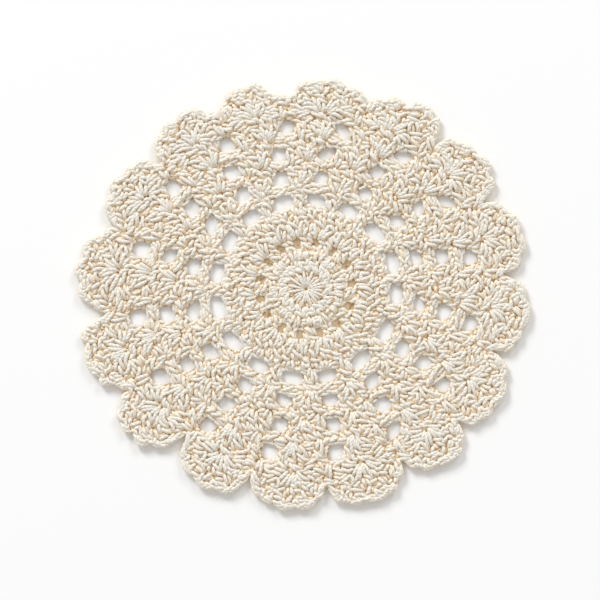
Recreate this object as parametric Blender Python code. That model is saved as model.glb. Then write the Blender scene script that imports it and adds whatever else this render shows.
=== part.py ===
"""A round crochet coaster, worked from the centre out in rounds, with 16 scallops at its edge.

The mat is one flat openwork solid. Its gaps are cut through, and its rounds, shells and posts
stand up from the top face. Sizes are metres, angles are degrees anticlockwise from +X, and the
origin is the centre of the rosette on the underside.
"""

import math

import bmesh
import bpy
from mathutils import Vector
from mathutils.geometry import delaunay_2d_cdt

MM = 0.001

# Driving sizes
MEAN_REACH = 74.8 * MM  # from the centre of the rosette to a scallop's tip, on average
EDGE_HEIGHT = 1.5 * MM  # the top edge of every outer and inner wall
VALLEY_HEIGHT = 2.1 * MM  # the fabric between two stitches
STITCH_HEIGHT = 2.8 * MM  # the crest of a stitch
BAR_HEIGHT = 3.0 * MM  # the crest of a row of chains
CLEARANCE = 0.55 * MM  # a stitch's point that would lie closer than this to another is left out

# The mat lies a little out of round: shifted by the first two shares, wider by the third
SHIFT_X, SHIFT_Y, WIDER = -0.0134, -0.0219, 0.0256

# One row for each repeat of the pattern. The first four columns are the angles of its gaps in the
# four openwork rounds, from the inside out. fan is the angle at which its scallop starts, tip and
# reach are the angle and distance of the scallop's tip, and notch and dip those of the low point
# on its clockwise side. Distances are in millimetres.
COLUMNS = ("gap_1", "gap_2", "gap_3", "gap_4", "fan", "tip", "reach", "notch", "dip")
REPEATS = [
    (17.0, 16.0, 13.5, 11.0, 16.5, 14.0, 74.8, 3.2, 69.7),
    (39.0, 37.0, 35.5, 32.0, 39.0, 36.3, 73.8, 25.9, 68.0),
    (61.0, 58.5, 58.5, 53.7, 62.0, 59.0, 73.3, 48.1, 66.7),
    (83.0, 82.5, 81.5, 77.0, 84.5, 82.7, 71.0, 71.3, 65.8),
    (105.0, 103.0, 101.5, 97.0, 106.5, 107.4, 71.2, 96.5, 65.3),
    (127.0, 124.0, 122.5, 119.0, 127.5, 128.6, 73.0, 117.3, 66.3),
    (148.0, 146.0, 145.0, 143.0, 151.0, 151.4, 75.0, 139.5, 66.3),
    (170.0, 169.0, 166.5, 166.7, 174.5, 175.6, 78.0, 163.2, 69.7),
    (192.0, 191.5, 190.5, 190.0, 198.5, 198.0, 78.2, 187.1, 69.7),
    (215.5, 213.5, 212.5, 211.5, 218.8, 218.7, 77.5, 207.4, 70.3),
    (238.0, 238.0, 235.5, 234.5, 243.0, 242.9, 75.2, 230.6, 66.7),
    (261.0, 259.0, 259.0, 257.5, 266.0, 265.7, 74.3, 253.8, 67.0),
    (283.5, 282.5, 281.5, 280.5, 288.0, 286.9, 74.7, 275.5, 67.5),
    (308.0, 306.0, 303.5, 302.0, 311.0, 310.6, 75.0, 298.7, 67.5),
    (332.0, 328.0, 328.0, 325.0, 331.5, 330.9, 75.3, 319.0, 68.3),
    (356.5, 352.5, 350.5, 348.0, 354.5, 354.6, 75.2, 341.2, 68.0),
]

# The openwork rounds: the gap's low and high radius in millimetres, half its width in degrees,
# how far clockwise of the middle between two gaps the shell starts, and its ribs
ROUND_COLUMNS = ("column", "low", "high", "half", "lean", "ribs")
ROUNDS = [
    ("gap_1", 27.9, 31.6, 6.0, -1.0, 0),
    ("gap_2", 35.9, 39.3, 3.1, 0.0, 5),
    ("gap_3", 44.0, 48.3, 2.7, 1.9, 4),
    ("gap_4", 53.2, 57.2, 2.4, 1.6, 4),
]

# The ring of small holes near the centre
SMALL_HOLES = (7, 31, 54, 78, 101, 122, 144, 167, 192, 213, 238, 262, 287, 311, 338)
SMALL_LOW, SMALL_HIGH, SMALL_HALF = 13.9, 16.6, 3.2

GAP_POINTS = 10
SMALL_POINTS = 6
GAP_SQUARENESS = 3.0  # 2 is an ellipse, more is nearer to a rectangle

# The stitches of the openwork rounds, in degrees and millimetres
GAP_MARGIN = 1.2  # the turn from a gap to the first stitch beside it
SHELL_SPREAD = 1.6  # half the turn that the feet of one shell take up
POST_SHARE = 0.27  # the share of the fabric between two gaps that is left to the post
FOOT_DROP, HEAD_RISE = 1.0, 0.6  # how far the stitches reach below and above the gaps
BAR_RISE, SEAM_RISE = 1.3, 2.6  # from a gap's top to the chain over it, and to the low line above
BAR_POINTS = 3
PLAIN_RIBS = 3  # the stitches between two gaps of the innermost openwork round

# Where along an upright stitch its crest and the low line beside it have their points
RIB_SHARES = (0.1, 0.5, 0.92)
VALLEY_SHARES = (0.5, 0.92)

# The scallops, in degrees and millimetres
EDGE_POINTS = 18  # in one scallop, from notch to notch
ARCH_FULLNESS = 0.8  # 1 is half a cosine wave, less has squarer shoulders
LOBES = 3.0  # bumps along a scallop
LOBE_DEPTH = 1.0
FAN_RIBS = 7
FAN_FOOT_RADIUS = 60.2
FAN_SPREAD = 2.0  # half the turn that the feet of a scallop's fan take up
FAN_FIRST, FAN_LAST = 0.14, 0.86  # the part of the scallop that the fan's heads take up
LEAF_INSET, DIP_INSET, KNOB_INSET = 4.6, 3.0, 1.3  # inwards from the mat's edge
POST_FOOT_RADIUS, POST_INSET = 59.5, 1.4

# Rows of stitches with no gap: radius in millimetres, crest height, how many crests
CLOSED_ROWS = [
    (1.6, STITCH_HEIGHT, 12),
    (4.2, STITCH_HEIGHT, 12),
    (5.8, VALLEY_HEIGHT, 24),
    (7.6, STITCH_HEIGHT, 24),
    (9.8, VALLEY_HEIGHT, 24),
    (11.9, STITCH_HEIGHT, 30),
    (18.4, STITCH_HEIGHT, 45),
    (20.6, VALLEY_HEIGHT, 45),
    (23.0, STITCH_HEIGHT, 48),
    (24.7, VALLEY_HEIGHT, 48),
    (26.5, BAR_HEIGHT, 64),
]
PLAIN_CENTRE = 3.0  # inside this radius in millimetres no low points stand between the crests

# The two stitches between each two small holes: how far from a hole, and their radius
SMALL_MARGIN, SMALL_STITCH_RADIUS = 7.0, 15.2

YARN_COLOUR = (0.83, 0.77, 0.66, 1.0)
YARN_ROUGHNESS = 0.85
SHARP_ANGLE = 50.0  # edges sharper than this, in degrees, aren't shaded smooth


def round_radius(radius, angle):
    """The distance from the rosette's centre of a round of that radius, at that angle."""
    a = math.radians(angle)
    uneven = SHIFT_X * math.cos(a) + SHIFT_Y * math.sin(a) + WIDER * math.cos(2 * a)
    return radius * (1 + uneven * (radius / MEAN_REACH) ** 2)


def spot(angle, distance):
    """The point at that angle and distance from the rosette's centre."""
    a = math.radians(angle)
    return Vector((distance * math.cos(a), distance * math.sin(a)))


def on_round(angle, radius):
    """A point on a round of that radius in millimetres, at that angle."""
    return spot(angle, round_radius(radius * MM, angle))


def read_table(columns, rows):
    """Each row as a dictionary by its column's name."""
    return [dict(zip(columns, row)) for row in rows]


def turn_from(a, b):
    """The anticlockwise turn from angle a to angle b, from 0 to 360."""
    return (b - a) % 360.0


def gap_loop(angle, low, high, half, points):
    """The rounded outline of one gap, in the sense of a hole, as points on its rounds."""
    middle, tall = (low + high) / 2, (high - low) / 2
    loop = []
    for i in range(points):
        t = 2 * math.pi * (i + 0.5) / points
        c, s = math.cos(t), math.sin(t)
        across = math.copysign(abs(c) ** (2 / GAP_SQUARENESS), c)
        up = math.copysign(abs(s) ** (2 / GAP_SQUARENESS), s)
        loop.append(on_round(angle + half * across, middle + tall * up))
    return loop


def edge_distance(scallop, following, share):
    """The distance of the mat's edge at a share of the way from a notch to the next one."""
    left = turn_from(scallop["notch"], scallop["tip"])
    whole = turn_from(scallop["notch"], following["notch"])
    turn = share * whole
    u = (turn - left) / left if turn < left else (turn - left) / (whole - left)
    foot = scallop["dip"] if turn < left else following["dip"]
    arch = max(0.0, math.cos(math.pi * u / 2)) ** ARCH_FULLNESS
    bump = abs(math.cos(math.pi * LOBES * u / 2)) - 1
    return (foot + (scallop["reach"] - foot + LOBE_DEPTH * bump) * arch) * MM


def edge_angle(scallop, following, share):
    """The angle at a share of the way from a notch to the next one."""
    return scallop["notch"] + share * turn_from(scallop["notch"], following["notch"])


class TopFace:
    """The points of the top face, each kept clear of those before it."""

    def __init__(self):
        self.points = []
        self.heights = []
        self.cells = {}

    def cell(self, point):
        return (math.floor(point.x / CLEARANCE), math.floor(point.y / CLEARANCE))

    def crowded(self, point):
        """True if another point lies closer than the clearance."""
        cx, cy = self.cell(point)
        for dx in (-1, 0, 1):
            for dy in (-1, 0, 1):
                for other in self.cells.get((cx + dx, cy + dy), ()):
                    if (other - point).length < CLEARANCE:
                        return True
        return False

    def add(self, point, height, wanted=False):
        """Adds a point at that height unless it is crowded. A wanted point always goes in."""
        if not wanted and self.crowded(point):
            return
        self.points.append(point)
        self.heights.append(height)
        self.cells.setdefault(self.cell(point), []).append(point)


def add_loop(face, loops, loop):
    """Adds a closed boundary at the height of the walls' top edge."""
    start = len(face.points)
    for point in loop:
        face.add(point, EDGE_HEIGHT, wanted=True)
    loops.append(list(range(start, len(face.points))))


def add_rib(face, foot, head, height):
    """Adds the crest of one upright stitch, from foot to head."""
    for share in RIB_SHARES:
        face.add(foot.lerp(head, share), height)


def add_valley(face, foot, head):
    """Adds the low line between two upright stitches."""
    for share in VALLEY_SHARES:
        face.add(foot.lerp(head, share), VALLEY_HEIGHT)


def add_fan(face, feet, heads):
    """Adds ribs from the feet to the heads, with a valley between each two."""
    for foot, head in zip(feet, heads):
        add_rib(face, foot, head, STITCH_HEIGHT)
    for i in range(len(feet) - 1):
        foot = (feet[i] + feet[i + 1]) / 2
        head = (heads[i] + heads[i + 1]) / 2
        add_valley(face, foot, head)


def spread(first, last, count):
    """That many evenly spaced values from first to last."""
    return [first + (last - first) * i / (count - 1) for i in range(count)]


def cut_gaps(face, loops, repeats, rounds):
    """Adds the outlines of every gap that goes through the mat."""
    for row in rounds:
        for repeat in repeats:
            angle = repeat[row["column"]]
            add_loop(face, loops, gap_loop(angle, row["low"], row["high"], row["half"], GAP_POINTS))
    for angle in SMALL_HOLES:
        add_loop(face, loops, gap_loop(angle, SMALL_LOW, SMALL_HIGH, SMALL_HALF, SMALL_POINTS))


def add_edge(face, loops, repeats):
    """Adds the mat's outline, scallop by scallop."""
    loop = []
    for scallop, following in zip(repeats, repeats[1:] + repeats[:1]):
        for i in range(EDGE_POINTS):
            share = i / EDGE_POINTS
            angle = edge_angle(scallop, following, share)
            loop.append(spot(angle, edge_distance(scallop, following, share)))
    add_loop(face, loops, loop)


def add_stitches(face, row, gap, room):
    """Raises the stitches between one gap and the next, a shell with or without a post."""
    first = gap + row["half"] + GAP_MARGIN
    last = gap + room - row["half"] - GAP_MARGIN
    foot_radius, head_radius = row["low"] - FOOT_DROP, row["high"] + HEAD_RISE
    post = row["column"] in ("gap_3", "gap_4")
    if row["ribs"]:
        start = gap + room / 2 - row["lean"]
        end = last - room * POST_SHARE if post else last
        foot_angles = spread(start - SHELL_SPREAD, start + SHELL_SPREAD, row["ribs"])
        head_angles = spread(first, end, row["ribs"])
    else:
        foot_angles = spread(first, last, PLAIN_RIBS)
        head_angles = foot_angles
    feet = [on_round(a, foot_radius) for a in foot_angles]
    heads = [on_round(a, head_radius) for a in head_angles]
    add_fan(face, feet, heads)
    if post:
        add_rib(face, on_round(last, foot_radius), on_round(last, head_radius), STITCH_HEIGHT)


def add_openwork(face, repeats, rounds):
    """Raises the posts, shells and chain bars of the four openwork rounds."""
    for row in rounds:
        for repeat, following in zip(repeats, repeats[1:] + repeats[:1]):
            gap, half = repeat[row["column"]], row["half"]
            add_stitches(face, row, gap, turn_from(gap, following[row["column"]]))
            for angle in spread(gap - half, gap + half, BAR_POINTS):
                face.add(on_round(angle, row["high"] + BAR_RISE), BAR_HEIGHT)
                face.add(on_round(angle, row["high"] + SEAM_RISE), VALLEY_HEIGHT)


def add_scallops(face, repeats):
    """Raises the fan of each scallop, the knobs along its edge and the post at its notch."""
    for scallop, following in zip(repeats, repeats[1:] + repeats[:1]):
        foot_angles = spread(scallop["fan"] - FAN_SPREAD, scallop["fan"] + FAN_SPREAD, FAN_RIBS)
        feet = [on_round(a, FAN_FOOT_RADIUS) for a in foot_angles]
        rims = []
        for share in spread(FAN_FIRST, FAN_LAST, FAN_RIBS):
            rims.append((edge_angle(scallop, following, share), edge_distance(scallop, following, share)))
        add_fan(face, feet, [spot(a, edge - LEAF_INSET * MM) for a, edge in rims])
        for a, edge in rims:
            face.add(spot(a, edge - KNOB_INSET * MM), STITCH_HEIGHT)
            face.add(spot(a, edge - DIP_INSET * MM), VALLEY_HEIGHT)
        notch = scallop["notch"]
        head = spot(notch, (scallop["dip"] - POST_INSET) * MM)
        add_rib(face, on_round(notch, POST_FOOT_RADIUS), head, STITCH_HEIGHT)


def add_closed_rows(face):
    """Raises the rosette and the closed rows round it."""
    face.add(Vector((0, 0)), VALLEY_HEIGHT)
    for radius, height, count in CLOSED_ROWS:
        turn = 360.0 / count
        for i in range(count):
            face.add(on_round(turn * i, radius), height)
            if radius > PLAIN_CENTRE:
                face.add(on_round(turn * (i + 0.5), radius), min(height, VALLEY_HEIGHT))
    for angle, following in zip(SMALL_HOLES, SMALL_HOLES[1:] + SMALL_HOLES[:1]):
        room = turn_from(angle, following)
        for a in (angle + SMALL_MARGIN, angle + room - SMALL_MARGIN):
            face.add(on_round(a, SMALL_STITCH_RADIUS), STITCH_HEIGHT)


def within(point, loop):
    """True if the point lies inside the closed loop of points."""
    inside = False
    for a, b in zip(loop, loop[1:] + loop[:1]):
        if (a.y > point.y) != (b.y > point.y):
            if point.x < a.x + (point.y - a.y) * (b.x - a.x) / (b.y - a.y):
                inside = not inside
    return inside


def fill(points, loops):
    """The triangles between the outline, which is the last loop, and the gaps."""
    edges = [(loop[i - 1], loop[i]) for loop in loops for i in range(len(loop))]
    owner = {i: number for number, loop in enumerate(loops) for i in loop}
    made = delaunay_2d_cdt(points, edges, [], 0, 1e-9)
    kept = []
    for triangle in made[2]:
        corners = [made[3][i][0] for i in triangle]
        owners = {owner.get(i) for i in corners}
        number = owners.pop()
        if not owners and number is not None:
            centre = (points[corners[0]] + points[corners[1]] + points[corners[2]]) / 3
            outline = number == len(loops) - 1
            if within(centre, [points[i] for i in loops[number]]) != outline:
                continue
        kept.append(corners)
    return kept


def build_mat():
    """The mat as one closed mesh: its top face, its flat underside and the walls between."""
    repeats = read_table(COLUMNS, REPEATS)
    rounds = read_table(ROUND_COLUMNS, ROUNDS)
    face = TopFace()
    loops = []
    cut_gaps(face, loops, repeats, rounds)
    add_edge(face, loops, repeats)
    walls = len(face.points)
    add_openwork(face, repeats, rounds)
    add_scallops(face, repeats)
    add_closed_rows(face)

    mesh = bmesh.new()
    top = [mesh.verts.new((p.x, p.y, z)) for p, z in zip(face.points, face.heights)]
    low = [mesh.verts.new((p.x, p.y, 0.0)) for p in face.points[:walls]]
    for triangle in fill(face.points, loops):
        mesh.faces.new([top[i] for i in triangle])
    for triangle in fill(face.points[:walls], loops):
        mesh.faces.new([low[i] for i in reversed(triangle)])
    for loop in loops:
        for a, b in zip(loop, loop[1:] + loop[:1]):
            mesh.faces.new([top[a], low[a], low[b], top[b]])
    bmesh.ops.recalc_face_normals(mesh, faces=mesh.faces)
    return mesh


def yarn_material():
    """Undyed matt cotton."""
    material = bpy.data.materials.new("undyed_cotton")
    material.use_nodes = True
    shader = material.node_tree.nodes["Principled BSDF"]
    shader.inputs["Base Color"].default_value = YARN_COLOUR
    shader.inputs["Roughness"].default_value = YARN_ROUGHNESS
    shader.inputs["Metallic"].default_value = 0.0
    return material


def main():
    for old in list(bpy.data.objects):
        bpy.data.objects.remove(old)
    shape = build_mat()
    data = bpy.data.meshes.new("crochet_mat")
    shape.to_mesh(data)
    shape.free()
    data.shade_smooth()
    data.set_sharp_from_angle(angle=math.radians(SHARP_ANGLE))
    data.materials.append(yarn_material())
    bpy.context.scene.collection.objects.link(bpy.data.objects.new("crochet_mat", data))


main()
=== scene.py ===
# %% [markdown]
# # A crochet coaster in undyed cotton
#
# The real mat is one smooth cotton yarn, looped by hand in rounds from the centre out. What the
# eye reads as crochet is a crowd of short strands, like grains of rice, each diving under the next
# at both ends. Stitches painted on a disc would look flat in side light. So the yarn itself is
# modelled here, strand by strand, from charts of one repeat.

# %% Load the frame
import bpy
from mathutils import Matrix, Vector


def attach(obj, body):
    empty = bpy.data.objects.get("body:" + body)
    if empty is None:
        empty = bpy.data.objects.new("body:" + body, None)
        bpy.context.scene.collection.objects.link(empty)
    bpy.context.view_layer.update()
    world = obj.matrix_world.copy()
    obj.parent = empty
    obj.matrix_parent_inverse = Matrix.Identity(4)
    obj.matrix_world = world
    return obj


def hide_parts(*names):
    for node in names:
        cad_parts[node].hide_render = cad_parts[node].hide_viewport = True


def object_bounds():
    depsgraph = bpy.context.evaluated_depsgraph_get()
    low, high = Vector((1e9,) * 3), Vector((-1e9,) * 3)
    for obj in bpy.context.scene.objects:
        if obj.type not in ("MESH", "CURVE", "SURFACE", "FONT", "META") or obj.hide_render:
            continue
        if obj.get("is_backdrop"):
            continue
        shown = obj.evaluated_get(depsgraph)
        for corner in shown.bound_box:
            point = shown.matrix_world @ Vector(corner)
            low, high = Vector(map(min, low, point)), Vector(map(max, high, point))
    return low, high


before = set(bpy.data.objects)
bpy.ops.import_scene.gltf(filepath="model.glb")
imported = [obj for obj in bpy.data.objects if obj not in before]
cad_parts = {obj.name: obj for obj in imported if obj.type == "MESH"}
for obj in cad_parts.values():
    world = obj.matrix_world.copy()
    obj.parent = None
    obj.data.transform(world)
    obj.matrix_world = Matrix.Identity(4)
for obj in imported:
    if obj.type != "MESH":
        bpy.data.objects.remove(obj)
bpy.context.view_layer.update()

# %% [markdown]
# ## The mat's plan
#
# A worked round is never a true circle, because hands pull unevenly. The plan is a short table:
# for each of the 16 repeats, the angle of its gap in each openwork round, of its fan, and of the
# notch before its scallop. Angles are in degrees, anticlockwise from +X, and distances are in
# millimetres. The solid is built on the same angles, so yarn and solid agree.

# %% Driving sizes
import math

import bpy
import numpy as np
from mathutils import Vector

MM = 0.001
YARN = 1.13  # the yarn's diameter
THICKNESS = 3.0  # of the fabric, underside to top
MEAN_REACH = 74.8  # from the centre to a scallop's tip, on average
SHIFT_X, SHIFT_Y, WIDER = -0.0134, -0.0219, 0.0256  # how the mat lies out of round

chance = np.random.default_rng(7)
print("yarn and fabric in mm:", YARN, THICKNESS)

# %% The repeats
COLUMNS = ("gap_1", "gap_2", "gap_3", "gap_4", "fan", "notch")
REPEATS = [
    (17.0, 16.0, 13.5, 11.0, 16.5, 3.2),
    (39.0, 37.0, 35.5, 32.0, 39.0, 25.9),
    (61.0, 58.5, 58.5, 53.7, 62.0, 48.1),
    (83.0, 82.5, 81.5, 77.0, 84.5, 71.3),
    (105.0, 103.0, 101.5, 97.0, 106.5, 96.5),
    (127.0, 124.0, 122.5, 119.0, 127.5, 117.3),
    (148.0, 146.0, 145.0, 143.0, 151.0, 139.5),
    (170.0, 169.0, 166.5, 166.7, 174.5, 163.2),
    (192.0, 191.5, 190.5, 190.0, 198.5, 187.1),
    (215.5, 213.5, 212.5, 211.5, 218.8, 207.4),
    (238.0, 238.0, 235.5, 234.5, 243.0, 230.6),
    (261.0, 259.0, 259.0, 257.5, 266.0, 253.8),
    (283.5, 282.5, 281.5, 280.5, 288.0, 275.5),
    (308.0, 306.0, 303.5, 302.0, 311.0, 298.7),
    (332.0, 328.0, 328.0, 325.0, 331.5, 319.0),
    (356.5, 352.5, 350.5, 348.0, 354.5, 341.2),
]
REPEAT = [dict(zip(COLUMNS, row)) for row in REPEATS]
SMALL_HOLES = (7, 31, 54, 78, 101, 122, 144, 167, 192, 213, 238, 262, 287, 311, 338)
print("repeats:", len(REPEAT), "small holes:", len(SMALL_HOLES))


# %% Places in the plan
def turn_from(a, b):
    """The anticlockwise turn from angle a to angle b, from 0 to 360."""
    return (b - a) % 360.0


def stretch(angle, distance):
    """How many times farther out than the mean a round lies at that angle."""
    a = math.radians(angle)
    uneven = SHIFT_X * math.cos(a) + SHIFT_Y * math.sin(a) + WIDER * math.cos(2 * a)
    return 1 + uneven * (distance / MEAN_REACH) ** 2


def spot(angle, distance):
    """A point in the plane at a true distance from the centre."""
    a = math.radians(angle)
    return np.array((distance * math.cos(a), distance * math.sin(a)))


def on_round(angle, radius):
    """A point in the plane on a worked round of that mean radius."""
    return spot(angle, radius * stretch(angle, radius))


print("a round of 50 mm lies at", round(50 * stretch(90, 50), 1), "mm at the top of the mat")

# %% [markdown]
# ## Strands
#
# A strand could be a curve with a bevel, but thousands of curve objects are slow. So a strand is a
# tube of a few rings, swept along a smooth curve with NumPy, and all the strands of one round are
# joined in one mesh. Along its length a strand rises to its crest and dives at both ends. Each
# point also keeps its height in the fabric, which the material reads later to paint shade on what
# lies deep, and painted light round the gaps.

# %% How a strand is cut
# its sides, where its rings stand from end to end, and how wide each ring is
FINE = (8, (0.0, 0.12, 0.32, 0.5, 0.68, 0.88, 1.0), (0.4, 0.82, 1.0, 1.05, 1.0, 0.82, 0.4))
PLAIN = (6, (0.0, 0.2, 0.5, 0.8, 1.0), (0.55, 0.95, 1.04, 0.95, 0.55))
COARSE = (5, (0.0, 0.3, 0.7, 1.0), (0.6, 1.02, 1.02, 0.6))
TIP = 0.45  # how far the rounded tip stands out, in radii
FLATNESS = 0.92  # a worked yarn is a little wider than it is tall
LOWEST = 0.6  # the height of a strand that lies on the table
DIVE_LENGTH = 1.25  # from a strand's end to where it has risen to its crest
LIFT_LOW, LIFT_SPAN = 0.45, 1.25  # for the painted shade: from the depth that light no longer reaches to the top
GAP_GLOW = 0.15  # painted light: how much paler the yarn looks round a gap, where light comes in from below


def curve_weights(count, at):
    """The weights that turn control points into points of one smooth curve through them."""
    weights = np.zeros((len(at), count))
    for row, share in enumerate(at):
        s = share * (count - 1)
        i = min(int(s), count - 2)
        t = s - i
        four = (
            (-t + 2 * t * t - t**3) / 2,
            (2 - 5 * t * t + 3 * t**3) / 2,
            (t + 4 * t * t - 3 * t**3) / 2,
            (-t * t + t**3) / 2,
        )
        for step, weight in zip((-1, 0, 1, 2), four):
            weights[row, min(max(i + step, 0), count - 1)] += weight
    return weights


print("rings of a strand on top:", len(FINE[1]), "with sides:", FINE[0])


# %% A strand's middle line
# here and below a strand is its plan, its crest's height, its ends' fall, its size and its squash
def middle_lines(strands, form):
    """The strands' middle lines, as an array of strand, ring and x, y, z."""
    at = np.array(form[1])
    plan = np.array([s[0] for s in strands], float)
    crest, dive = np.array([s[1:3] for s in strands], float).T
    weights = curve_weights(plan.shape[1], at)
    line = np.einsum("rc,scx->srx", weights, plan)
    length = np.linalg.norm(np.diff(line, axis=1), axis=2).sum(axis=1)
    to_end = np.minimum(at, 1 - at) * length[:, None]
    fall = np.clip(1 - to_end / DIVE_LENGTH, 0, 1) ** 2
    height = crest[:, None] - dive[:, None] * fall
    squash = np.array([s[4] for s in strands])[:, None]
    height = LOWEST + (height - LOWEST) * (1 - squash)
    return np.concatenate((line, height[:, :, None]), axis=2)


def lifts(strands, form):
    """How high in the fabric each point lies, from 0 in the dark to 1 on top, for painted shade, with
    painted light added round gaps.
    """
    squash = np.array([s[4] for s in strands])[:, None]
    height = LOWEST + (middle_lines(strands, form)[:, :, 2] - LOWEST) / (1 - squash)
    above = np.where(np.array([s[2] for s in strands]) > 0, 1.0, -1.0)[:, None]
    lift = ((height - THICKNESS / 2) * above + LIFT_LOW) / LIFT_SPAN + GAP_GLOW * squash
    return np.concatenate((np.repeat(lift, form[0], axis=1), lift[:, [0, -1]]), axis=1)


trial = [([(0.0, 0.0), (2.0, 0.5), (4.0, 0.0)], 2.3, 0.85, 1.0, 0.0)]
print("a trial strand's height along it:", middle_lines(trial, FINE)[0, :, 2].round(2))


# %% A strand's tube
def tubes(strands, form):
    """The rings of points round the middle lines with a tip at each end, and the way along."""
    sides, grow = form[0], np.array(form[2])
    line = middle_lines(strands, form)
    size = np.array([s[3] for s in strands]) * YARN / 2
    tangent = np.gradient(line, axis=1)
    tangent /= np.linalg.norm(tangent, axis=2, keepdims=True)
    side = np.cross(tangent, (0.0, 0.0, 1.0))
    side /= np.linalg.norm(side, axis=2, keepdims=True)
    up = np.cross(side, tangent)
    turn = 2 * math.pi * (np.arange(sides) + 0.5) / sides
    wheel = side[:, :, None] * np.cos(turn)[:, None]
    wheel = wheel + up[:, :, None] * np.sin(turn)[:, None] * FLATNESS
    rings = line[:, :, None] + (size[:, None] * grow)[:, :, None, None] * wheel
    outward = tangent[:, [0, -1]] * np.array((-1, 1))[:, None]
    tips = line[:, [0, -1]] + outward * size[:, None, None] * TIP
    step = np.linalg.norm(np.diff(line, axis=1), axis=2)
    along = np.concatenate((np.zeros((len(line), 1)), np.cumsum(step, axis=1)), axis=1)
    return np.concatenate((rings.reshape(len(line), -1, 3), tips), axis=1), along


print("points of the trial strand:", tubes(trial, FINE)[0].shape[1])


# %% A bag of strands
class Strands:
    """Collects strands by their number of points, and turns them into one mesh."""

    def __init__(self, name, form=FINE):
        self.name, self.form = name, form
        self.groups = {}
        self.verts, self.quads, self.tris, self.quad_uv, self.tri_uv = [], [], [], [], []
        self.painted_shade_height = []
        self.base = 0

    def add(self, plan, crest, dive, size=1.0, squash=0.0):
        """One strand through points of the plan, with its crest's height and its ends' fall."""
        self.groups.setdefault(len(plan), []).append((plan, crest, dive, size, squash))

    def strands(self):
        """All the strands in one list."""
        return [strand for _, group in sorted(self.groups.items()) for strand in group]

    def weave(self, strands):
        """Adds the faces of strands with equally many points, their UV places and their lifts."""
        points, along = tubes(strands, self.form)
        n, rings = self.form[0], len(self.form[1])
        start = self.base + points.shape[1] * np.arange(len(strands))[:, None, None]
        # the walls: four corners between each ring and the next
        ring, spoke = np.meshgrid(np.arange(rings - 1), np.arange(n), indexing="ij")
        ring, spoke = ring.ravel(), spoke.ravel()
        this, after = ring * n, (spoke + 1) % n
        corners = np.stack((this + spoke, this + after, this + n + after, this + n + spoke), 1)
        self.quads.append((corners + start).reshape(-1, 4))
        v = along[:, np.stack((ring, ring, ring + 1, ring + 1), 1)]
        u = np.broadcast_to(np.stack((spoke, spoke + 1, spoke + 1, spoke), 1) / n, v.shape)
        self.quad_uv.append(np.stack((u, v), -1).reshape(-1, 2))
        # the ends: a fan of triangles from the first ring and from the last to a tip
        s, top = np.arange(n), (rings - 1) * n
        first = np.stack(((s + 1) % n, s, np.full(n, rings * n)), 1)
        last = np.stack((top + s, top + (s + 1) % n, np.full(n, rings * n + 1)), 1)
        self.tris.append((np.concatenate((first, last)) + start).reshape(-1, 3))
        u = np.concatenate((np.stack((s + 1, s, s), 1), np.stack((s, s + 1, s), 1))) / n
        v = np.repeat(along[:, [0, -1]], n, axis=1)[:, :, None] * np.ones(3)
        self.tri_uv.append(np.stack((np.broadcast_to(u, v.shape), v), -1).reshape(-1, 2))
        self.verts.append(points.reshape(-1, 3))
        self.painted_shade_height.append(lifts(strands, self.form).ravel())
        self.base += points.shape[1] * len(strands)

    def build(self):
        """Makes the mesh object."""
        for _, group in sorted(self.groups.items()):
            self.weave(group)
        quads, tris = np.concatenate(self.quads), np.concatenate(self.tris)
        mesh = bpy.data.meshes.new(self.name)
        mesh.from_pydata(np.concatenate(self.verts) * MM, [], quads.tolist() + tris.tolist())
        layer = mesh.uv_layers.new(name="yarn")
        places = np.concatenate(self.quad_uv + self.tri_uv)
        layer.data.foreach_set("uv", places.astype(np.float32).ravel())
        # the height that the cotton's painted shade and painted light read
        painted_shade_height = mesh.attributes.new("painted_shade_height", "FLOAT", "POINT")
        painted_shade_height.data.foreach_set("value", np.concatenate(self.painted_shade_height).astype(np.float32))
        mesh.shade_smooth()
        piece = bpy.data.objects.new(self.name, mesh)
        bpy.context.scene.collection.objects.link(piece)
        print(self.name, "strands:", len(self.strands()), "triangles:", len(quads) * 2 + len(tris))
        return piece


# %% [markdown]
# ## Charts
#
# A crochet pattern is written as a chart of one repeat. These charts are drawn the same way, but
# strand by strand: how high in the fabric the strand lies, from 2 (in its middle) to 4 (on top),
# and the points it passes, each an angle and a distance from the centre. They show only the part
# of a strand that can be seen from above.

# %% Chart of the posts between the first gaps
POSTS = [
    (4, (178.1, 33.8), (175.8, 33.3), (172.8, 33.1)),
    (4, (193.2, 32.3), (191.2, 33.5), (188.3, 34.6)),
    (3, (191.0, 32.7), (189.0, 32.5), (187.1, 32.6)),
    (4, (186.7, 33.0), (183.8, 33.1), (180.5, 32.3)),
    (3, (181.4, 33.8), (179.4, 33.3), (178.4, 32.2)),
    (3, (178.5, 32.5), (178.8, 31.9), (179.0, 31.2)),
    (3, (186.7, 32.7), (186.0, 32.0), (185.2, 31.6)),
    (4, (185.2, 31.1), (185.1, 29.8), (184.1, 27.9)),
    (4, (183.5, 31.1), (183.2, 29.7), (183.1, 27.4)),
    (4, (182.8, 31.7), (180.8, 31.1), (178.6, 29.2)),
    (3, (176.1, 31.9), (176.6, 30.9), (178.0, 30.4)),
    (4, (180.6, 29.1), (180.6, 27.9), (181.6, 26.5)),
    (4, (178.1, 28.3), (174.7, 28.1), (170.6, 27.5)),
    (4, (179.2, 27.7), (177.4, 27.0), (175.8, 26.8)),
    (4, (175.0, 26.5), (173.3, 26.9), (170.8, 26.5)),
    (3, (192.2, 28.5), (189.3, 28.6), (186.1, 28.7)),
    (4, (190.3, 28.0), (187.9, 28.1), (184.9, 27.3)),
    (4, (191.0, 27.3), (189.9, 26.8), (187.7, 27.0)),
    (4, (180.5, 26.2), (179.1, 26.2), (177.7, 25.6)),
]
print("strands of the posts in a repeat:", len(POSTS))

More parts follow.
